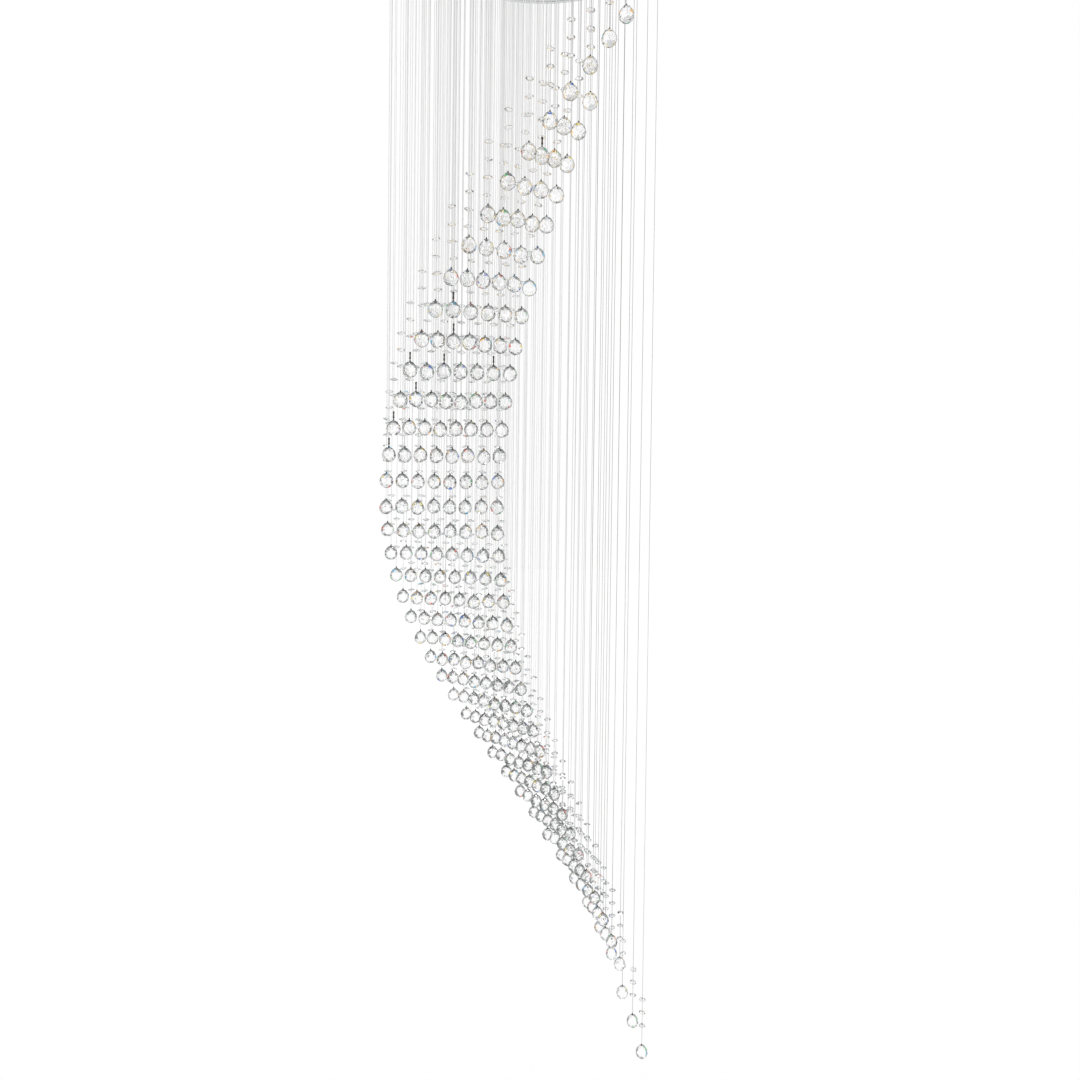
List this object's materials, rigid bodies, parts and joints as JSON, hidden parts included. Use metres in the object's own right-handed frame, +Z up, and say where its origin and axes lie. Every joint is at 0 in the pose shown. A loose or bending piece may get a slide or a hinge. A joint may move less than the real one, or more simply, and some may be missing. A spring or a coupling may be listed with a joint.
{
  "type": "crystal chandelier",
  "caption": "Spiral raindrop chandelier: round mirror canopy with spot lamps and rows of wire strands, each ending in a faceted crystal ball, stepping down in a helix.",
  "frame": {"origin": "centre of the bracket's four ceiling slots, in the plane of its face on the ceiling", "axes": "+Z up into the ceiling, everything hangs along -Z; the crescent of strands opens towards +X, and the spiral's top end is at +X -Y and its foot at +X +Y"},
  "size_m": [0.8186, 0.8186, 3.1965],
  "materials": {
    "mirror_steel": "polished",
    "chrome_trim": "polished",
    "zinc_steel": "zinc plated",
    "strand_steel": "drawn wire",
    "crystal": "cut and polished",
    "lamp_glass": "reflector glass",
    "white_ceramic": "unglazed",
    "white_plastic": "moulded",
    "black_rubber": "moulded",
    "lead_sleeve": "silicone sleeve",
    "brass": "turned"
  },
  "bodies": {
    "root": {"ceiling_bracket": "zinc_steel", "canopy_skirt": "mirror_steel", "canopy_plate": "mirror_steel", "side_screws": "mirror_steel", "tab_nuts": "zinc_steel", "cable_grommet": "black_rubber", "terminal_block": "white_plastic", "earth_post": "brass", "lamp_trims": "chrome_trim", "lampholders": "white_ceramic", "holder_straps": "zinc_steel", "lamp_leads": "lead_sleeve"},
    "bulb_1": {"spot_bulb_1": "lamp_glass"},
    "bulb_2": {"spot_bulb_2": "lamp_glass"},
    "bulb_3": {"spot_bulb_3": "lamp_glass"},
    "bulb_4": {"spot_bulb_4": "lamp_glass"},
    "bulb_5": {"spot_bulb_5": "lamp_glass"},
    "first_strand": {"first_strand_wires": "strand_steel", "first_strand_beads": "crystal", "first_strand_balls": "crystal"},
    "curtain_01": {"curtain_01_wires": "strand_steel", "curtain_01_beads": "crystal", "curtain_01_balls": "crystal"},
    "curtain_02": {"curtain_02_wires": "strand_steel", "curtain_02_beads": "crystal", "curtain_02_balls": "crystal"},
    "curtain_03": {"curtain_03_wires": "strand_steel", "curtain_03_beads": "crystal", "curtain_03_balls": "crystal"},
    "curtain_04": {"curtain_04_wires": "strand_steel", "curtain_04_beads": "crystal", "curtain_04_balls": "crystal"},
    "curtain_05": {"curtain_05_wires": "strand_steel", "curtain_05_beads": "crystal", "curtain_05_balls": "crystal"},
    "curtain_06": {"curtain_06_wires": "strand_steel", "curtain_06_beads": "crystal", "curtain_06_balls": "crystal"},
    "curtain_07": {"curtain_07_wires": "strand_steel", "curtain_07_beads": "crystal", "curtain_07_balls": "crystal"},
    "curtain_08": {"curtain_08_wires": "strand_steel", "curtain_08_beads": "crystal", "curtain_08_balls": "crystal"},
    "curtain_09": {"curtain_09_wires": "strand_steel", "curtain_09_beads": "crystal", "curtain_09_balls": "crystal"},
    "curtain_10": {"curtain_10_wires": "strand_steel", "curtain_10_beads": "crystal", "curtain_10_balls": "crystal"},
    "last_strand": {"last_strand_wires": "strand_steel", "last_strand_beads": "crystal", "last_strand_balls": "crystal"}
  },
  "joints": [
    {"name": "bulb_twist_1", "type": "hinge", "parent": "root", "child": "bulb_1", "pos_m": [0.1541, 0.20164, -0.08], "axis": [0, 0, -1], "range_deg": [0, 20]},
    {"name": "bulb_twist_2", "type": "hinge", "parent": "root", "child": "bulb_2", "pos_m": [0.04251, 0.12708, -0.08], "axis": [0, 0, -1], "range_deg": [0, 20]},
    {"name": "bulb_twist_3", "type": "hinge", "parent": "root", "child": "bulb_3", "pos_m": [-0.00063, 0, -0.08], "axis": [0, 0, -1], "range_deg": [0, 20]},
    {"name": "bulb_twist_4", "type": "hinge", "parent": "root", "child": "bulb_4", "pos_m": [0.04251, -0.12708, -0.08], "axis": [0, 0, -1], "range_deg": [0, 20]},
    {"name": "bulb_twist_5", "type": "hinge", "parent": "root", "child": "bulb_5", "pos_m": [0.1541, -0.20164, -0.08], "axis": [0, 0, -1], "range_deg": [0, 20]},
    {"name": "first_strand_sway", "type": "hinge", "parent": "root", "child": "first_strand", "pos_m": [0.27276, -0.25734, -0.0838], "axis": [0.6862, 0.7274, 0], "range_deg": [-6, 6]},
    {"name": "curtain_sway_01", "type": "hinge", "parent": "root", "child": "curtain_01", "pos_m": [0.18187, -0.31191, -0.0835], "axis": [0.7761, -0.6306, 0], "range_deg": [-0.3, 0.3]},
    {"name": "curtain_sway_02", "type": "hinge", "parent": "root", "child": "curtain_02", "pos_m": [0.06419, -0.32107, -0.0835], "axis": [0.7323, -0.681, 0], "range_deg": [-0.3, 0.3]},
    {"name": "curtain_sway_03", "type": "hinge", "parent": "root", "child": "curtain_03", "pos_m": [-0.06293, -0.28055, -0.0835], "axis": [0.5667, -0.8239, 0], "range_deg": [-0.3, 0.3]},
    {"name": "curtain_sway_04", "type": "hinge", "parent": "root", "child": "curtain_04", "pos_m": [-0.16228, -0.19221, -0.0835], "axis": [0.3567, -0.9342, 0], "range_deg": [-0.3, 0.3]},
    {"name": "curtain_sway_05", "type": "hinge", "parent": "root", "child": "curtain_05", "pos_m": [-0.21827, -0.06815, -0.0835], "axis": [0.1217, -0.9926, 0], "range_deg": [-0.3, 0.3]},
    {"name": "curtain_sway_06", "type": "hinge", "parent": "root", "child": "curtain_06", "pos_m": [-0.21827, 0.06815, -0.0835], "axis": [-0.1217, -0.9926, 0], "range_deg": [-0.3, 0.3]},
    {"name": "curtain_sway_07", "type": "hinge", "parent": "root", "child": "curtain_07", "pos_m": [-0.16228, 0.19221, -0.0835], "axis": [-0.3567, -0.9342, 0], "range_deg": [-0.3, 0.3]},
    {"name": "curtain_sway_08", "type": "hinge", "parent": "root", "child": "curtain_08", "pos_m": [-0.06293, 0.28055, -0.0835], "axis": [-0.5667, -0.8239, 0], "range_deg": [-0.3, 0.3]},
    {"name": "curtain_sway_09", "type": "hinge", "parent": "root", "child": "curtain_09", "pos_m": [0.06419, 0.32107, -0.0835], "axis": [-0.7323, -0.681, 0], "range_deg": [-0.3, 0.3]},
    {"name": "curtain_sway_10", "type": "hinge", "parent": "root", "child": "curtain_10", "pos_m": [0.18187, 0.31191, -0.0835], "axis": [-0.7761, -0.6306, 0], "range_deg": [-0.3, 0.3]},
    {"name": "last_strand_sway", "type": "hinge", "parent": "root", "child": "last_strand", "pos_m": [0.27276, 0.25734, -0.0838], "axis": [-0.6862, 0.7274, 0], "range_deg": [-3, 3]}
  ]
}
